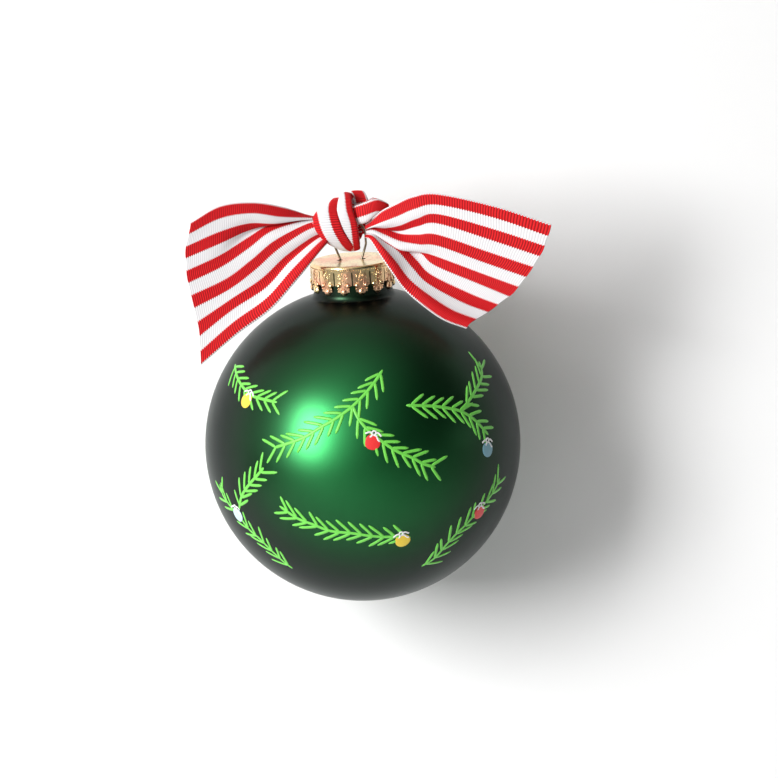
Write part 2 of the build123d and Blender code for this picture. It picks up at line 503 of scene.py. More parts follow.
@dataclass
class Ball:
    """The glass ball's looks: its lacquer, and the paint on it. Sizes in millimetres."""

    centre: Vector
    radius: float = 50.0
    stem_half: float = 0.50
    needle_half: float = 0.50
    paint_height: float = 0.13
    needle_pitch: float = 3.45
    needle_length: float = 5.5
    needle_lean: float = 42.0
    bauble_radius: float = 2.4
    bauble_base: float = 0.05
    bauble_dome: float = 0.16
    bauble_crown: float = 0.21
    bauble_sunk: float = 0.1
    bow_half: float = 0.30
    bow_height: float = 0.11
    bow_lift: float = 0.13
    seed: int = 7

    def on(self, lon: np.ndarray, lat: np.ndarray, lift: float = 0.0) -> np.ndarray:
        """Points of the ball: longitude turns from the front (-Y) towards +X, latitude rises to the neck."""
        lon, lat = np.radians(lon), np.radians(lat)
        normal = np.stack([np.cos(lat) * np.sin(lon), -np.cos(lat) * np.cos(lon), np.sin(lat)], -1)
        return np.array(self.centre) / MM + normal * (self.radius + lift)

    def normal(self, points: np.ndarray) -> np.ndarray:
        """The outward direction at points of the ball."""
        return unit(points - np.array(self.centre) / MM)

    def dropped(self, points: np.ndarray, lift: float = 0.0) -> np.ndarray:
        """Points moved straight in or out to the ball's surface."""
        return np.array(self.centre) / MM + self.normal(points) * (self.radius + lift)

    def round_ended(self, paths: np.ndarray, half: float) -> tuple[np.ndarray, np.ndarray]:
        """Half widths that fall as a quarter circle near both ends of each path, and heights alike."""
        step = np.linalg.norm(np.diff(paths, axis=1), axis=-1)
        run = np.concatenate([np.zeros((len(paths), 1)), np.cumsum(step, 1)], 1)
        near = np.minimum(run, run[:, -1:] - run) / half
        fall = np.sqrt(np.clip(1 - (1 - np.clip(near, 0.12, 1)) ** 2, 0.02, 1))
        return half * fall, self.paint_height * np.sqrt(fall)

    def stem_line(self, sprig: Sprig, rows: int) -> np.ndarray:
        """A sprig's stem: the smooth curve through its places, at even steps of length, on the surface."""
        places = np.array(sprig.stem, float)
        fine = smooth_through(np.arange(len(places)), places, np.linspace(0, len(places) - 1, 400))
        points = self.on(fine[:, 0], fine[:, 1])
        run = np.concatenate([[0], np.cumsum(np.linalg.norm(np.diff(points, axis=0), axis=1))])
        even = np.linspace(0, run[-1], rows)
        return self.dropped(np.stack([np.interp(even, run, points[:, k]) for k in range(3)], -1))

    def needles(self, sprig: Sprig, chance: np.random.Generator) -> np.ndarray:
        """Needle paths of a sprig: from even places on the stem, leaning forward, with a slight bend.

        Args:
            sprig: the sprig.
            chance: the source of the small differences.

        Returns:
            Paths, needles x rows x 3.
        """
        rows = 200
        line = self.stem_line(sprig, rows)
        length = np.linalg.norm(np.diff(line, axis=0), axis=1).sum()
        roots = np.arange(sprig.first, length - 0.6, self.needle_pitch)
        at = np.clip((roots / length * (rows - 1)).astype(int), 1, rows - 2)
        base = np.repeat(line[at], 2, 0)
        along = np.repeat(unit(line[at + 1] - line[at - 1]), 2, 0)
        up = self.normal(base)
        side = np.cross(up, along) * np.tile([1.0, -1.0], len(at))[:, None]
        lean = np.radians(self.needle_lean + chance.uniform(-6, 6, len(base)))[:, None]
        reach = (self.needle_length * chance.uniform(0.85, 1.12, len(base)))[:, None, None]
        direction = along * np.cos(lean) + side * np.sin(lean)
        t = np.linspace(0, 1, 7)[None, :, None]
        bend = along[:, None] * (0.22 * t**2) * reach * 0.5
        return self.dropped(base[:, None] + direction[:, None] * t * reach + bend)

    def paint_sprigs(self, sprigs: list[Sprig]) -> bpy.types.Object:
        """All sprigs as one piece: each stem and needle is a low rounded stroke, half sunk in the surface."""
        chance = np.random.default_rng(self.seed)
        parts = []
        for sprig in sprigs:
            stem = self.stem_line(sprig, 40)[None]
            width, height = self.round_ended(stem, self.stem_half)
            parts.append(strokes(stem, self.normal(stem), width, height))
            paths = self.needles(sprig, chance)
            width, height = self.round_ended(paths, self.needle_half)
            parts.append(strokes(paths, self.normal(paths), width, height, ring=6))
        return build("painted_sprigs", *joined(parts))

    def local(
        self, place: tuple[float, float], turn: float, flat: np.ndarray, lift: float = 0.0
    ) -> np.ndarray:
        """Flat points in millimetres laid on the ball about a place, turned by an angle in degrees."""
        c, s = math.cos(math.radians(turn)), math.sin(math.radians(turn))
        x = flat[..., 0] * c - flat[..., 1] * s
        y = flat[..., 0] * s + flat[..., 1] * c
        base = self.on(np.array(place[0]), np.array(place[1]))
        up = self.normal(base)
        east = unit(np.cross([0.0, 0.0, 1.0], up))
        north = np.cross(up, east)
        return self.dropped(base + x[..., None] * east + y[..., None] * north, lift)

    def paint_disc(self, bauble: Bauble) -> Shape:
        """A bauble: a low dome of paint over a slightly uneven circle, closed below the surface."""
        ring, rows = 40, 6
        turn = np.linspace(0, 2 * np.pi, ring, endpoint=False)
        rim = self.bauble_radius * (1 + 0.02 * np.sin(3 * turn + bauble.place[0]))
        share = np.sin(np.linspace(np.pi / 2, np.pi / 2 / rows, rows))
        flat = share[:, None, None] * np.stack([rim * np.cos(turn), rim * np.sin(turn)], -1)
        lift = (np.sqrt(1 - share**2 * 0.98) * self.bauble_dome)[:, None, None]
        top = self.local(bauble.place, 0.0, flat)
        top = top + self.normal(top) * (lift + self.bauble_base)
        edge = self.local(bauble.place, 0.0, flat[0])
        low = edge - self.normal(edge) * self.bauble_sunk
        crown = self.local(bauble.place, 0.0, np.zeros(2), self.bauble_crown)
        under = self.local(bauble.place, 0.0, np.zeros(2), -self.bauble_sunk)
        points = np.concatenate([low, top.reshape(-1, 3), [crown], [under]])
        here, after = np.arange(ring), (np.arange(ring) + 1) % ring
        cap = np.stack([np.full(ring, len(points) - 2), rows * ring + here, rows * ring + after], -1)
        base = np.stack([np.full(ring, len(points) - 1), after, here], -1)
        return points, [grid_quads(rows + 1, ring, ring_cols=True)[:, ::-1], cap, base]

    def bow_strokes(self, bauble: Bauble) -> Shape:
        """A bauble's bow in line: a small circle, two loops as bent sine arcs, and two waving loose ends."""
        t = np.linspace(0, 1, 16)
        round_ = np.stack([0.62 * np.sin(2 * np.pi * t), 0.62 - 0.62 * np.cos(2 * np.pi * t)], -1)
        curl = np.stack([0.3 + 2.0 * t, 0.9 * np.sin(np.pi * t**0.8) * (1 - 0.2 * t)], -1)
        loose = np.stack([0.2 + 1.9 * t, -0.2 - 1.3 * t**1.5 + 0.3 * np.sin(2 * np.pi * t)], -1)
        mirror = np.array([-1.0, 1.0])
        flats = np.stack([round_, curl, curl * mirror * [1.1, 0.8], loose, loose * mirror * [0.5, 0.5]])
        paths = self.local(bauble.place, bauble.turn, flats + [0.0, self.bauble_radius - 0.2], self.bow_lift)
        half = np.full(paths.shape[:2], self.bow_half)
        return strokes(paths, self.normal(paths), half, np.full(paths.shape[:2], self.bow_height), ring=6)

    def dress(
        self, node: bpy.types.Object, sprigs: list[Sprig], baubles: list[Bauble], paints: list[Paint]
    ) -> None:
        """Lacquers the CAD ball and adds the sprigs, baubles and bows.

        Args:
            node: the CAD ball.
            sprigs: the sprigs to paint.
            baubles: the baubles to paint.
            paints: the baubles' paints.
        """
        node.data.materials.clear()
        node.data.materials.append(SatinLacquer().material())
        green = self.paint_sprigs(sprigs)
        green.data.materials.append(LEAF_GREEN.material())
        pieces = [green]
        for number, paint in enumerate(paints):
            discs = [self.paint_disc(b) for b in baubles if b.paint == number]
            piece = build("painted_baubles_" + paint.name, *joined(discs))
            piece.data.materials.append(paint.material())
            pieces.append(piece)
        bows = build("painted_bows", *joined([self.bow_strokes(b) for b in baubles]))
        bows.data.materials.append(WHITE_LINE.material())
        for piece in [*pieces, bows]:
            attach(piece, Body.BALL.value)
            LOG.info("ball: %s, %d faces", piece.name, len(piece.data.polygons))


# ---------------------------------------------------------------- cap and wire


@dataclass
class Cap:
    """The gold cap's looks: its sheet, and the relief stamped on it. Sizes in millimetres."""

    top: float
    skirt_radius: float = 12.88
    panels: int = 14
    scroll_half: float = 0.19
    dot_radius: float = 0.28
    rim_dots: int = 112
    rim_dot_radius: float = 0.2
    rim_dot_drop: float = 1.25

    def wrap(self, arc: np.ndarray, drop: np.ndarray, lift: float) -> tuple[np.ndarray, np.ndarray]:
        """Points on the skirt at a distance round it and below the top, and the outward directions there."""
        turn = arc / self.skirt_radius
        out = np.stack([np.cos(turn), np.sin(turn), np.zeros_like(turn)], -1)
        points = out * (self.skirt_radius + lift)
        points[..., 2] = self.top - drop
        return points, out

    def scrolls(self) -> Shape:
        """On each panel, mirrored pairs of curls and stalks: a curl's radius shrinks evenly as it turns."""
        t = np.linspace(0, 1, 15)
        angle = 1.35 * 2 * np.pi * t
        shrink = 0.95 * (1 - 0.72 * t)
        small = 0.8 * shrink
        upper = np.stack([1.05 + shrink * np.cos(angle + 0.6), 3.1 - shrink * np.sin(angle + 0.6)], -1)
        lower = np.stack([1.0 + small * np.cos(angle - 2.2), 5.6 + small * np.sin(angle - 2.2)], -1)
        stalk = np.stack([0.25 + 0.5 * np.sin(np.pi * t), 2.0 + 5.0 * t], -1)
        one = np.stack([upper, lower, stalk])
        pair = np.concatenate([one, one * [-1.0, 1.0]])
        pitch = 2 * np.pi * self.skirt_radius / self.panels
        arc = (pair[None, ..., 0] + (np.arange(self.panels) * pitch)[:, None, None]).reshape(-1, len(t))
        drop = np.broadcast_to(pair[None, ..., 1], (self.panels, *pair.shape[:2])).reshape(-1, len(t))
        points, out = self.wrap(arc, drop, 0.02)
        half = np.full(arc.shape, self.scroll_half) * np.sin(np.pi * np.linspace(0.12, 0.88, len(t)))
        return strokes(points, out, half, half * 0.8, ring=6)

    def dots(self) -> Shape:
        """Small round bosses, each a short stroke: a row under the top edge and five to a panel."""
        pitch = 2 * np.pi * self.skirt_radius / self.panels
        rim = np.arange(self.rim_dots) * 2 * np.pi * self.skirt_radius / self.rim_dots
        spots = np.array([(0.0, 1.9), (0.0, 4.4), (1.75, 7.0), (-1.75, 7.0), (0.0, 7.0)])
        arc = np.concatenate([rim, (spots[None, :, 0] + (np.arange(self.panels) * pitch)[:, None]).ravel()])
        drop = np.concatenate([np.full(len(rim), self.rim_dot_drop), np.tile(spots[:, 1], self.panels)])
        sizes = np.full(self.panels * len(spots), self.dot_radius)
        size = np.concatenate([np.full(len(rim), self.rim_dot_radius), sizes])
        rise = np.linspace(-0.8, 0.8, 5)
        path_drop = drop[:, None] + size[:, None] * rise
        points, out = self.wrap(np.repeat(arc[:, None], len(rise), 1), path_drop, 0.0)
        half = size[:, None] * np.sqrt(1 - rise**2 * 0.98)
        return strokes(points, out, half, half, ring=6)

    def dress(self, node: bpy.types.Object) -> None:
        """Gilds the CAD cap and adds the stamped relief."""
        gilt = GoldFoil().material()
        node.data.materials.clear()
        node.data.materials.append(gilt)
        for name, made in (("cap_scrolls", self.scrolls()), ("cap_bosses", self.dots())):
            piece = build(name, *made)
            piece.data.materials.append(gilt)
            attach(piece, Body.CAP.value)
            LOG.info("cap: %s, %d faces", name, len(piece.data.polygons))


# ---------------------------------------------------------------- ribbon


@dataclass
class Cloth:
    """Ribbon cloth, and how a sheet of it is made from its middle surface. Sizes in millimetres."""

    width: float = 38.0
    thickness: float = 0.40
    rib_pitch: float = 0.68
    rib_height: float = 0.055
    steps_per_rib: int = 4

    def run(self, middle: np.ndarray) -> np.ndarray:
        """The mean distance along the rows of a middle surface, rows x cols x 3."""
        step = np.linalg.norm(np.diff(middle, axis=0), axis=-1).mean(1)
        return np.concatenate([[0.0], np.cumsum(step)])

    def sheet(
        self, name: str, surface: Callable[[np.ndarray], np.ndarray], across: np.ndarray
    ) -> tuple[bpy.types.Object, float]:
        """A closed thin sheet: the middle surface moved both ways along its normals, ribbed as a cosine.

        Args:
            name: the piece's name.
            surface: gives the middle surface, rows x cols x 3, at places 0 to 1 along it.
            across: the place across the ribbon of each column, 0 to 1.

        Returns:
            The piece, and the sheet's length.
        """
        coarse = np.linspace(0, 1, 160)
        run = self.run(surface(coarse))
        rows = int(run[-1] / self.rib_pitch * self.steps_per_rib)
        even = np.interp(np.linspace(0, run[-1], rows), run, coarse)
        middle = surface(even)
        run = np.linspace(0, run[-1], rows)
        normal = unit(np.cross(np.gradient(middle, axis=0), np.gradient(middle, axis=1)))
        rib = self.rib_height * np.cos(2 * np.pi * run / self.rib_pitch)[:, None, None]
        half = self.thickness / 2 + rib
        points = np.concatenate([middle + normal * half, middle - normal * half])
        cols, total = len(across), middle.shape[0] * len(across)
        front = grid_quads(rows, cols)
        back = front[:, ::-1] + total
        index = np.arange(total).reshape(rows, cols)
        rims = []
        for line, flip in ((index[:, 0], True), (index[:, -1], False), (index[0], False), (index[-1], True)):
            a, b = line[:-1], line[1:]
            quad = np.stack([a, b, b + total, a + total], -1)
            rims.append(quad if not flip else quad[:, ::-1])
        flat = np.stack(np.broadcast_arrays(across[None, :], run[:, None] / self.width), -1)
        piece = build(name, points, [front, back, *rims], np.concatenate([flat, flat]))
        return piece, float(run[-1])


@dataclass
class Tail:
    """A free end of the ribbon, from the knot to its cut end.

    Each guide is a line along the cloth, as (x, y, z) in millimetres: its two edges, the middle of each
    stripe, and on the right tail one line more. `places` says how far across the cloth each lies.
    """

    name: str
    places: tuple[float, ...]
    guides: tuple[tuple[Point, ...], ...]
    columns: int = 56

    def surface(self, at: np.ndarray) -> np.ndarray:
        """The middle surface: a smooth curve through each guide, then smooth curves across the guides."""
        lines = np.array(self.guides, float).transpose(1, 0, 2)
        along = smooth_through(np.arange(len(lines)), lines, at * (len(lines) - 1))
        across = np.linspace(0, 1, self.columns)
        return smooth_through(self.places, along.transpose(1, 0, 2), across).transpose(1, 0, 2)

    def make(self, cloth: Cloth, paint: bpy.types.Material) -> bpy.types.Object:
        piece, length = cloth.sheet(self.name + "_cloth", self.surface, np.linspace(0, 1, self.columns))
        piece.data.materials.append(paint)
        return piece


@dataclass
class PleatedBand:
    """A length of ribbon pleated lengthwise between two edge lines, its layers lying one inside the other."""

    name: str
    layer: float = 0.72
    crown: float = 0.55
    columns: int = 96
    first_edge: float = 0.0

    def edges(self, at: np.ndarray) -> tuple[np.ndarray, np.ndarray, np.ndarray]:
        """The first edge, the second edge and the inward direction at places 0 to 1 along the band."""
        raise NotImplementedError

    def surface(self, at: np.ndarray, width: float) -> np.ndarray:
        """Across, the cloth zigzags between the edges, and each fold steps one layer inward.

        The outer layer is crowned as a parabola. A narrow strip before the first edge is turned under.
        """
        first, second, inward = (e[:, None] for e in self.edges(at))
        seen = np.linalg.norm(second - first, axis=-1)
        fold = width * (np.linspace(0, 1, self.columns) - self.first_edge)[None, :] / seen
        whole = np.floor(fold)
        part = fold - whole
        share = np.where(whole % 2 > 0, 1 - part, part)[..., None]
        step = 0.5 + 0.5 * np.tanh((part - 0.94) / 0.04)
        depth = self.layer * np.where(whole < 0, -0.6, 1.0) * (whole + step)
        depth -= self.crown * 4 * part * (1 - part) * (whole == 0)
        return first + (second - first) * share + inward * depth[..., None]

    def make(self, cloth: Cloth, paint: bpy.types.Material, rests_on: str) -> bpy.types.Object:
        across = np.linspace(0, 1, self.columns)
        piece, length = cloth.sheet(self.name, lambda at: self.surface(at, cloth.width), across)
        piece.data.materials.append(paint)
        return piece


@dataclass
class Wrap(PleatedBand):
    """A turn round the knot, an oval about the X axis, from under the front, over the top, to the back."""

    angles: tuple[float, ...] = ()
    right: tuple[float, ...] = ()
    left: tuple[float, ...] = ()
    half_depth: float = 6.0
    half_height: float = 8.0
    middle: tuple[float, float] = (0.0, 8.0)

    def edges(self, at: np.ndarray) -> tuple[np.ndarray, np.ndarray, np.ndarray]:
        """The right edge, the left edge and the way to the oval's middle."""
        turn = np.interp(at, [0, 1], [self.angles[0], self.angles[-1]])
        falling = -np.array(self.angles)
        s, c = np.sin(np.radians(turn)), np.cos(np.radians(turn))
        y, z = self.middle[0] - self.half_depth * s, self.middle[1] + self.half_height * c
        right = np.stack([smooth_through(falling, self.right, -turn), y, z], -1)
        left = np.stack([smooth_through(falling, self.left, -turn), y, z], -1)
        return right, left, np.stack([0 * s, s, -c], -1)


@dataclass
class Ear(PleatedBand):
    """A short loop standing out of the knot: out along its front, round its tip and back behind."""

    upper: tuple[Point, ...] = ()
    lower: tuple[Point, ...] = ()
    heart: tuple[float, float] = (4.0, -0.6)

    def edges(self, at: np.ndarray) -> tuple[np.ndarray, np.ndarray, np.ndarray]:
        """The upper edge, the lower edge and the level way to the loop's heart."""
        knots = np.linspace(0, 1, len(self.upper))
        upper, lower = smooth_through(knots, self.upper, at), smooth_through(knots, self.lower, at)
        inward = np.stack([self.heart[0] - upper[:, 0], (self.heart[1] - upper[:, 1]) * 2.5, 0 * at], -1)
        return upper, lower, unit(inward)


# ---------------------------------------------------------------- stage


@dataclass
class Studio:
    """Camera, lamps and pale surroundings. Sizes in metres, angles in degrees."""

    ball_centre: Vector
    rise: float = 13.0
    roll: float = 3.5
    distance: float = 1.0
    lens: float = 145.7
    aim_right: float = 0.00829
    aim_up: float = 0.01715
    wall_gap: float = 0.0503
    wall_half: float = 0.9
    floor_height: float = -0.34
    floor_half: float = 12.0
    # painted shade on the floor: it darkens to this grey towards the viewer, over this span of depth
    floor_painted_shade_grey: float = 0.42
    floor_painted_shade_span: tuple[float, float] = (-0.5, -0.05)
    paper_white: tuple[float, float] = (0.905, 0.915)
    key_turn: float = 38.0
    key_rise: float = 11.0
    key_distance: float = 1.2
    key_size: tuple[float, float] = (0.40, 0.64)
    key_power: float = 16.2
    ambient: float = 0.80
    dim: float = 0.03
    pale_side: Colour = (-0.8, 0.0, 0.55)

    def axes(self) -> tuple[Vector, Vector, Vector]:
        """The view's right, up and backward directions before the roll."""
        e = math.radians(self.rise)
        up, back = Vector((0, math.sin(e), math.cos(e))), Vector((0, -math.cos(e), math.sin(e)))
        return Vector((1, 0, 0)), up, back

    def place_camera(self) -> None:
        """Makes the camera and gives it to the scene."""
        right, up, back = self.axes()
        r = math.radians(self.roll)
        right, up = right * math.cos(r) - up * math.sin(r), up * math.cos(r) + right * math.sin(r)
        data = bpy.data.cameras.new("camera")
        data.lens, data.sensor_width = self.lens, 36.0
        data.clip_start, data.clip_end = 0.01, 50.0
        camera = bpy.data.objects.new("camera", data)
        aim = self.ball_centre + right * self.aim_right + up * self.aim_up
        turn = Matrix((right, up, back)).transposed()
        camera.matrix_world = Matrix.Translation(aim + back * self.distance) @ turn.to_4x4()
        bpy.context.scene.collection.objects.link(camera)
        bpy.context.scene.camera = camera

    def place_key(self) -> None:
        """Makes the rectangular key lamp, to the left of the view's axis and above it, facing the ball."""
        right, up, back = self.axes()
        a, e = math.radians(-self.key_turn), math.radians(self.key_rise)
        away = back * math.cos(a) * math.cos(e) + right * math.sin(a) * math.cos(e) + up * math.sin(e)
        data = bpy.data.lights.new("key_lamp", "AREA")
        data.shape, data.energy = "RECTANGLE", self.key_power
        data.size, data.size_y = self.key_size
        lamp = bpy.data.objects.new("key_lamp", data)
        turn = away.to_track_quat("Z", "Y").to_matrix().to_4x4()
        lamp.matrix_world = Matrix.Translation(self.ball_centre + away * self.key_distance) @ turn
        bpy.context.scene.collection.objects.link(lamp)

    def surroundings(self) -> None:
        """Dim air, brighter up to the left where the pale room is, and pale near the horizon behind.

        Each level reads the direction's share along one way, and eases between two values over a span of it.
        """
        world = bpy.data.worlds.new("studio_air")
        world.use_nodes = True
        tree = world.node_tree
        ground = tree.nodes["Background"]
        ground.inputs[0].default_value = (1.0, 0.995, 0.985, 1.0)
        direction = tree.nodes.new("ShaderNodeTexCoord").outputs["Generated"]
        levels = []
        for way, span, values in (
            (self.pale_side, (-0.2, 0.85), (self.dim, self.ambient)),
            ((0.0, 0.0, 1.0), (0.10, 0.20), (0.95, 0.0)),
            ((0.0, 1.0, 0.0), (-0.45, -0.15), (0.0, 1.0)),
        ):
            dot = tree.nodes.new("ShaderNodeVectorMath")
            dot.operation = "DOT_PRODUCT"
            dot.inputs[1].default_value = Vector(way).normalized()
            tree.links.new(direction, dot.inputs[0])
            level = tree.nodes.new("ShaderNodeMapRange")
            level.interpolation_type = "SMOOTHSTEP"
            for socket, value in zip(("From Min", "From Max", "To Min", "To Max"), (*span, *values)):
                level.inputs[socket].default_value = value
            tree.links.new(dot.outputs["Value"], level.inputs["Value"])
            levels.append(level.outputs[0])
        behind = tree.nodes.new("ShaderNodeMath")
        behind.operation = "MULTIPLY"
        tree.links.new(levels[1], behind.inputs[0])
        tree.links.new(levels[2], behind.inputs[1])
        brighter = tree.nodes.new("ShaderNodeMath")
        brighter.operation = "MAXIMUM"
        tree.links.new(levels[0], brighter.inputs[0])
        tree.links.new(behind.outputs[0], brighter.inputs[1])
        tree.links.new(brighter.outputs[0], ground.inputs[1])
        bpy.context.scene.world = world

    def paper(self, name: str, one_sided: bool) -> bpy.types.Material:
        """White paper, either clear from behind or with painted shade, darker to grey towards the viewer."""
        n = Nodes(name)
        place = n.object_place()
        low, high = ((white,) * 3 for white in self.paper_white)
        tone = n.mix(n.noise(place, 3.0), low, high)
        if not one_sided:
            # painted shade: the floor's colour darkens to grey towards the viewer, so the ball reflects a
            # dark front
            depth = n.add("SeparateXYZ", Vector=place).outputs["Y"]
            tone = n.mix(n.spread(depth, self.floor_painted_shade_span), (self.floor_painted_shade_grey,) * 3, tone)
        sheet = n.add("BsdfDiffuse", Color=tone)
        if not one_sided:
            return n.surface(sheet)
        clear = n.add("BsdfTransparent")
        side = n.add("NewGeometry").outputs["Backfacing"]
        both = n.tree.nodes.new("ShaderNodeMixShader")
        n.tree.links.new(side, both.inputs[0])
        n.tree.links.new(sheet.outputs[0], both.inputs[1])
        n.tree.links.new(clear.outputs[0], both.inputs[2])
        return n.surface(both)

    def flat_sheet(
        self, name: str, centre: Vector, right: Vector, up: Vector, half: float
    ) -> bpy.types.Object:
        """A plain square that faces right x up.

        Args:
            name: the sheet's name.
            centre: its middle.
            right: the direction of its width.
            up: the direction of its height.
            half: half its side.

        Returns:
            The sheet.
        """
        corners = [centre - right * half - up * half, centre + right * half - up * half]
        corners += [centre + right * half + up * half, centre - right * half + up * half]
        piece = build(name, np.array([tuple(c) for c in corners]) / MM, [np.array([[0, 1, 2, 3]])])
        return piece

    def make(self) -> None:
        """Builds the whole studio."""
        self.place_camera()
        self.surroundings()
        self.place_key()
        right, up, back = self.axes()
        wall = self.flat_sheet("backdrop", self.ball_centre - back * self.wall_gap, right, up, self.wall_half)
        wall.data.materials.append(self.paper("backdrop_paper", one_sided=True))
        low, deep = Vector((0, 0, self.floor_height)), Vector((0, 1, 0))
        floor = self.flat_sheet("floor", low, Vector((1, 0, 0)), deep, self.floor_half)
        floor.data.materials.append(self.paper("floor_paper", one_sided=False))


SPRIGS = [
    Sprig(((-74, 37.5), (-63, 33.5), (-54, 30.5), (-48, 29), (-42, 28.5), (-34.5, 28))),
    Sprig(((11.5, 39.5), (7.5, 35.5), (2.5, 31), (-2.5, 27), (-5.5, 25), (-10.5, 22),
           (-14.5, 20), (-20.5, 16.5), (-25.5, 14.5), (-30, 13), (-33, 12))),
    Sprig(((-2.5, 27), (-0.5, 22.5), (3, 18), (8, 13.5),
           (12.5, 10), (18, 7), (21.5, 4.5), (26, 2.5)), first=4.2),
    Sprig(((18.5, 25.5), (25, 24.5), (32, 23), (40.5, 20), (46, 16), (49.5, 12), (52, 9))),
    Sprig(((40.5, 20), (45.5, 22), (53, 25.5), (59, 28), (63, 30.5), (65.5, 34)), first=4.0),
    Sprig(((-53.5, -13), (-50, -7.5), (-45, -2.5), (-40.5, 1.5), (-37.5, 4.5))),
    Sprig(((-57, -15.5), (-61, -12.5), (-64, -10), (-65, -6))),
    Sprig(((-37.5, -38), (-40, -35), (-43, -30.5), (-47, -25), (-51.5, -21.5), (-54.5, -17.5))),
    Sprig(((16.5, -23), (11.5, -22), (6, -21.5), (0.5, -20.5), (-6, -19),
           (-13.5, -18), (-19.5, -15.5), (-25, -13.5), (-29, -11), (-32, -9))),
    Sprig(((24.5, -39), (29.5, -36), (33.5, -30), (37.5, -25.5),
           (42, -22), (46.5, -18), (51.5, -15), (55, -12), (58, -8.5))),
    Sprig(((100, 38), (110, 33), (120, 30), (131, 29), (141, 24))),
    Sprig(((131, 29), (138, 33), (146, 37), (150, 43)), first=3.6),
    Sprig(((175, 40), (182, 33), (190, 27), (200, 22), (212, 19), (222, 19))),
    Sprig(((190, 27), (186, 19), (178, 12), (169, 7)), first=4.0),
    Sprig(((96, 12), (104, 6), (114, 2), (126, 0), (138, 2))),
    Sprig(((120, -36), (130, -30), (142, -26), (155, -25), (168, -28))),
    Sprig(((142, -26), (146, -18), (153, -11)), first=3.6),
    Sprig(((240, 10), (236, 2), (229, -5), (219, -10), (208, -12))),
    Sprig(((196, -42), (206, -36), (218, -33), (231, -33), (243, -37))),
    Sprig(((262, 2), (258, -7), (252, -15), (250, -22))),
]
BAUBLES = [
    Bauble((-51, 27), 2, -10),
    Bauble((4, 14), 0, -15),
    Bauble((50.5, 4), 1, -8),
    Bauble((-56, -16), 3),
    Bauble((13.5, -24), 2, 12),
    Bauble((47.5, -19), 0, 10),
    Bauble((121, 26), 0),
    Bauble((186, 13), 2, 8),
    Bauble((112, -3), 1, -6),
    Bauble((143, -31), 3, 6),
    Bauble((228, -10), 0, -8),
    Bauble((222, 15), 1, 5),
    Bauble((219, -38), 2, 5),
]
LEAF_GREEN = Paint("leaf_green_enamel", (0.17, 0.68, 0.08))
WHITE_LINE = Paint("white_line_enamel", (0.85, 0.85, 0.85))
PAINTS = [
    Paint("red", (0.83, 0.035, 0.035)),
    Paint("blue", (0.20, 0.42, 0.52)),
    Paint("yellow", (0.86, 0.62, 0.05)),
    Paint("pale_blue", (0.55, 0.74, 0.80)),
]
LEFT_TAIL = Tail(
    "ribbon_tail_left",
    (0.0, 0.045, 0.136, 0.227, 0.318, 0.409, 0.500, 0.591, 0.682, 0.773, 0.864, 0.955, 1.0),
    (
        ((-5.9, 0.6, 8.1), (-11.7, 0.2, 9.1), (-20.2, -4.0, 13.2),
         (-29.3, -7.4, 15.9), (-39.4, -9.8, 15.8), (-48.5, -12.0, 11.6)),
        ((-5.9, 0.2, 7.7), (-11.7, -0.4, 8.9), (-20.2, -4.6, 11.8),
         (-29.4, -7.6, 14.3), (-39.4, -9.8, 14.1), (-48.8, -12.0, 10.1)),
        ((-5.9, -0.6, 7.3), (-11.7, -2.4, 8.5), (-21.8, -6.0, 9.5),
         (-30.3, -8.0, 11.2), (-39.8, -9.8, 10.1), (-49.9, -12.0, 6.3)),
        ((-5.9, 1.0, 7.3), (-11.9, 1.2, 8.4), (-23.1, -4.6, 8.0),
         (-31.3, -6.8, 8.1), (-40.0, -9.8, 6.0), (-50.9, -12.0, 2.5)),
        ((-5.9, 2.6, 7.2), (-11.9, 2.8, 8.3), (-23.5, -2.0, 7.9),
         (-31.6, -5.6, 5.8), (-40.3, -9.9, 2.3), (-50.9, -12.0, -1.4)),
        ((-5.9, 1.0, 6.9), (-11.9, 0.8, 8.1), (-23.9, -3.8, 7.2),
         (-31.7, -7.2, 3.2), (-40.5, -9.9, -1.4), (-51.0, -12.0, -5.4)),
        ((-5.9, -1.4, 6.5), (-11.9, -2.6, 7.7), (-23.3, -6.2, 4.7),
         (-31.1, -8.4, -0.2), (-39.5, -10.0, -5.2), (-50.4, -12.0, -9.4)),
        ((-5.9, -2.4, 5.6), (-12.0, -3.7, 6.9), (-22.7, -6.7, 2.0),
         (-30.6, -8.7, -3.8), (-38.4, -10.0, -9.0), (-49.8, -12.0, -13.4)),
        ((-5.9, -2.8, 4.4), (-11.2, -4.4, 4.6), (-20.9, -6.8, -0.6),
         (-28.9, -8.6, -6.7), (-38.2, -10.3, -12.3), (-49.1, -12.0, -17.8)),
        ((-6.0, -1.6, 3.3), (-10.4, -3.3, 2.7), (-19.3, -6.0, -2.9),
         (-27.2, -8.6, -9.7), (-37.8, -10.7, -15.4), (-48.5, -12.1, -22.4)),
        ((-5.6, 0.0, 2.6), (-9.6, -3.8, 2.0), (-18.4, -7.5, -4.8),
         (-26.8, -9.7, -12.8), (-37.6, -11.2, -19.2), (-48.5, -12.2, -27.1)),
        ((-5.5, -0.6, 1.8), (-8.6, -8.2, 1.2), (-17.4, -11.2, -6.8),
         (-26.5, -11.3, -15.7), (-37.6, -11.8, -23.0), (-48.6, -12.3, -31.8)),
        ((-5.3, 0.0, 1.2), (-8.3, -7.8, 0.5), (-16.6, -11.3, -8.2),
         (-25.6, -11.7, -17.3), (-36.7, -12.0, -24.6), (-48.7, -12.4, -33.6)),
    ),
)
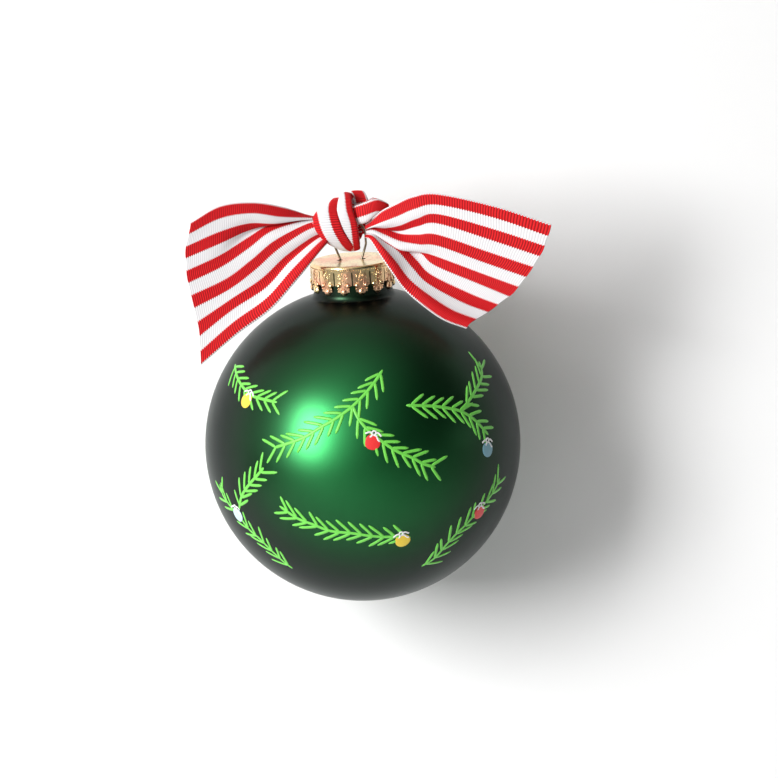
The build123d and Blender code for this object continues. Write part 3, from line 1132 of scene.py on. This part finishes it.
RIGHT_TAIL = Tail(
    "ribbon_tail_right",
    (0.0, 0.045, 0.136, 0.227, 0.318, 0.409, 0.500, 0.548, 0.591, 0.682, 0.773, 0.864, 0.955, 1.0),
    (
        ((5.3, -2.2, 5.8), (7.3, -3.0, 7.2), (10.3, -4.4, 10.1), (14.5, -5.8, 12.3),
         (20.4, -7.0, 14.7), (28.0, -8.0, 15.2), (45.6, -10.0, 10.5), (62.6, -12.0, 4.1)),
        ((5.1, -2.6, 4.8), (7.3, -3.4, 6.0), (10.6, -4.8, 8.4), (14.9, -6.0, 10.5),
         (20.6, -7.2, 12.8), (28.1, -8.0, 13.5), (45.2, -10.0, 8.9), (62.1, -12.0, 2.2)),
        ((5.1, -2.6, 4.4), (7.4, -3.8, 5.2), (11.0, -5.4, 6.0), (15.5, -6.4, 7.2),
         (21.0, -7.6, 9.3), (27.9, -8.2, 10.3), (45.0, -10.0, 5.3), (60.8, -12.0, -0.8)),
        ((5.1, -1.6, 4.2), (7.6, -1.8, 4.8), (11.3, -3.2, 4.1), (15.9, -5.2, 4.5),
         (21.3, -7.0, 6.4), (27.8, -8.0, 7.5), (44.8, -10.0, 1.6), (59.6, -12.0, -4.0)),
        ((5.2, -0.8, 4.0), (7.6, -0.8, 4.6), (11.3, -2.0, 3.9), (15.9, -3.6, 3.0),
         (21.3, -6.4, 3.9), (27.6, -7.9, 4.1), (43.5, -10.0, -1.9), (57.4, -12.0, -7.3)),
        ((5.2, -1.8, 3.9), (7.6, -2.2, 4.3), (11.3, -3.4, 3.5), (15.8, -5.4, 1.7),
         (21.2, -7.4, 1.0), (27.3, -8.2, 0.5), (42.2, -10.0, -5.5), (55.2, -12.0, -10.5)),
        ((5.2, -3.2, 3.5), (7.6, -4.6, 3.5), (11.0, -6.2, 1.3), (15.6, -8.0, -0.7),
         (21.7, -8.6, -1.9), (27.2, -8.6, -3.0), (39.9, -10.2, -8.4), (52.6, -12.0, -13.6)),
        ((5.2, -2.6, 3.4), (7.6, -4.0, 3.0), (11.0, -5.3, 0.6), (15.5, -7.3, -1.9),
         (22.1, -8.0, -3.0), (26.5, -8.3, -4.6), (39.8, -10.3, -10.3), (51.3, -12.0, -15.1)),
        ((5.2, -1.4, 3.3), (7.6, -2.6, 3.1), (11.1, -3.2, 1.2), (15.5, -4.4, -0.6),
         (22.2, -6.8, -2.7), (26.3, -8.0, -6.1), (39.7, -10.5, -12.0), (49.9, -12.1, -16.7)),
        ((5.2, -0.6, 3.3), (7.6, -1.7, 3.3), (11.1, -2.7, 1.5), (15.4, -3.9, -0.0),
         (20.9, -6.8, -4.9), (25.3, -8.7, -8.9), (37.4, -11.1, -15.0), (46.3, -12.5, -19.0)),
        ((5.2, -1.0, 3.1), (7.5, -3.2, 3.1), (10.8, -5.0, 0.9), (15.1, -6.6, -1.4),
         (19.5, -8.5, -6.5), (23.9, -10.2, -11.6), (35.0, -12.2, -17.9), (42.8, -13.4, -21.3)),
        ((5.2, -2.2, 2.7), (7.3, -6.1, 2.6), (10.4, -8.9, -0.1), (14.0, -9.9, -3.9),
         (18.0, -11.0, -9.3), (22.8, -12.4, -13.9), (31.6, -14.3, -19.7), (39.2, -15.2, -23.0)),
        ((5.0, -2.6, 2.2), (7.0, -7.3, 2.3), (9.8, -11.3, -1.2), (13.0, -12.6, -6.0),
         (16.6, -13.2, -11.7), (21.5, -15.2, -16.1), (28.2, -17.0, -21.3), (35.4, -17.8, -24.6)),
        ((4.8, -2.2, 1.6), (6.4, -7.3, 1.6), (9.0, -11.1, -2.4), (12.0, -12.6, -7.3),
         (15.5, -13.7, -12.9), (20.4, -15.3, -17.7), (27.2, -17.1, -22.9), (34.3, -17.8, -26.0)),
    ),
)
WRAPS = (
    Wrap(
        "ribbon_knot_cloth_front",
        first_edge=0.022,
        angles=(166, 150, 120, 90, 60, 45, 30, 0, -30, -60, -90, -120, -135),
        right=(2.6, 1.6, -0.4, -2.2, -3.1, -3.2, -2.9, -1.6, -1.0, 0.0, 0.6, 0.4, -0.2),
        left=(-3.0, -4.6, -8.3, -10.5, -10.9, -9.8, -7.4, -5.4, -6.0, -8.0, -9.4, -9.6, -9.0),
        half_depth=6.0,
        half_height=7.8,
        middle=(0.0, 5.8),
    ),
    Wrap(
        "ribbon_knot_cloth_middle",
        first_edge=0.045,
        angles=(164, 150, 120, 90, 60, 30, 0, -30, -60, -90, -120, -135),
        right=(3.0, 3.0, 2.8, 2.5, 1.5, 1.3, 1.2, 2.0, 3.2, 4.2, 4.2, 3.4),
        left=(-2.4, -3.0, -4.4, -4.8, -3.9, -2.9, -2.5, -3.4, -4.4, -5.0, -4.4, -3.4),
        half_depth=5.2,
        half_height=8.7,
        middle=(0.1, 6.5),
    ),
    Wrap(
        "ribbon_knot_cloth_back",
        first_edge=0.0,
        angles=(150, 120, 90, 60, 30, 0, -30, -60, -90, -120, -150),
        right=(6.0, 6.4, 6.6, 6.4, 5.8, 5.0, 5.6, 6.6, 7.2, 7.0, 6.2),
        left=(0.4, 0.0, -0.4, -0.4, 0.0, 0.4, 0.2, -0.4, -0.8, -0.4, 0.2),
        half_depth=2.3,
        half_height=6.9,
        middle=(4.4, 8.2),
        layer=0.5,
        crown=0.3,
    ),
)
EAR = Ear(
    "ribbon_knot_cloth_ear",
    upper=((1.4, -2.4, 11.6), (5.2, -3.6, 12.8), (9.2, -3.4, 13.8),
           (12.2, -1.4, 11.8), (9.6, 1.0, 12.8), (5.4, 1.8, 12.2), (1.6, 1.6, 11.6)),
    lower=((2.2, -3.0, 6.0), (5.6, -4.2, 6.8), (9.2, -3.8, 9.2),
           (12.3, -1.4, 10.4), (9.8, 1.2, 9.2), (6.0, 2.2, 7.8), (2.4, 2.0, 7.4)),
    heart=(6.4, -0.9),
    layer=0.42,
    crown=0.4,
)


def dress_ribbon() -> None:
    """Builds the bow and puts it in place of its plain solids."""
    cloth, paint = Cloth(), Grosgrain().material()
    knot = [band.make(cloth, paint, "wire_hanger") for band in (*WRAPS, EAR)]
    left = LEFT_TAIL.make(cloth, paint)
    right = RIGHT_TAIL.make(cloth, paint)
    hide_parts("ribbon_knot")
    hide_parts("ribbon_tail_left")
    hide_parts("ribbon_tail_right")
    for piece in (*knot, left, right):
        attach(piece, Body.RIBBON.value)
        LOG.info("ribbon: %s, %d faces", piece.name, len(piece.data.polygons))


def main() -> None:
    """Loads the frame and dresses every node."""
    logging.basicConfig(level=logging.INFO)
    bpy.context.scene.view_settings.view_transform = "Standard"
    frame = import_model()
    nodes = frame["nodes"]
    low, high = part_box("glass_ball")
    centre = Vector(((low.x + high.x) / 2, (low.y + high.y) / 2, low.z + Ball.radius * MM))
    cap_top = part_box("ornament_cap")[1].z
    Studio(centre).make()
    Ball(centre).dress(nodes["glass_ball"], SPRIGS, BAUBLES, PAINTS)
    Cap(top=cap_top / MM).dress(nodes["ornament_cap"])
    nodes["wire_hanger"].data.materials.clear()
    nodes["wire_hanger"].data.materials.append(DrawnWire().material())
    dress_ribbon()


if __name__ == "__main__":
    main()
